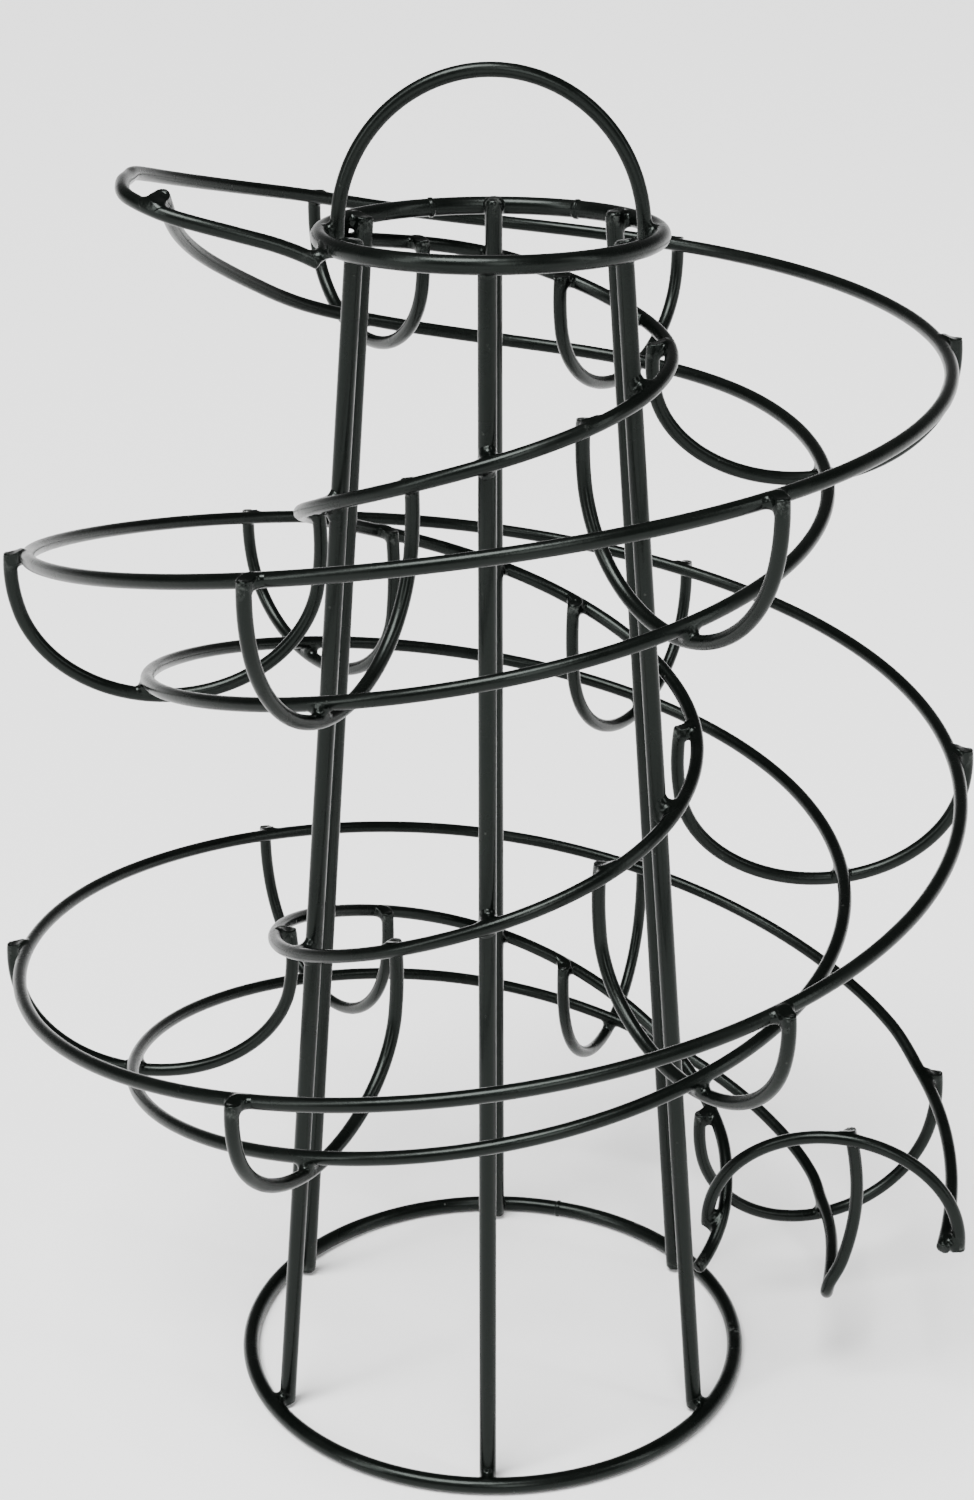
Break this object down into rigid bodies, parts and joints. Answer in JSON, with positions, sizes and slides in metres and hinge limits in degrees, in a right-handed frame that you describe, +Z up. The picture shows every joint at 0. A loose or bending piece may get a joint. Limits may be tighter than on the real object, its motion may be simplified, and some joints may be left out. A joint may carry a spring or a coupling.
{
  "type": "egg rack",
  "caption": "Spiral wire egg rack with a carrying handle, satin black, for storing eggs on a kitchen counter.",
  "frame": {"origin": "centre of the bounding box's bottom face, in the plane of the base ring's underside", "axes": "+Z up along the posts' axis, -Y towards the side with the bottom end of the spiral on its right, +X to the right seen from there"},
  "size_m": [0.2062, 0.2003, 0.2799],
  "materials": {
    "frame_coat": "satin black powder coat on 3.5 mm steel wire",
    "rail_coat": "satin black powder coat on 2.8 mm steel wire",
    "cradle_coat": "satin black powder coat on 2.8 mm steel wire, with weld beads"
  },
  "bodies": {
    "root": {"base_ring": "frame_coat", "bottom_rail": "rail_coat", "carry_handle": "rail_coat", "cradle_01": "cradle_coat", "cradle_02": "cradle_coat", "cradle_03": "cradle_coat", "cradle_04": "cradle_coat", "cradle_05": "cradle_coat", "cradle_06": "cradle_coat", "cradle_07": "cradle_coat", "cradle_08": "cradle_coat", "cradle_09": "cradle_coat", "cradle_10": "cradle_coat", "cradle_11": "cradle_coat", "cradle_12": "cradle_coat", "cradle_13": "cradle_coat", "cradle_14": "cradle_coat", "cradle_15": "cradle_coat", "inner_rail": "rail_coat", "outer_rail": "rail_coat", "post_back": "frame_coat", "post_back_left": "frame_coat", "post_back_right": "frame_coat", "post_front": "frame_coat", "post_front_left": "frame_coat", "post_front_right": "frame_coat", "stop_arch": "cradle_coat", "top_ring": "frame_coat"}
  },
  "joints": []
}
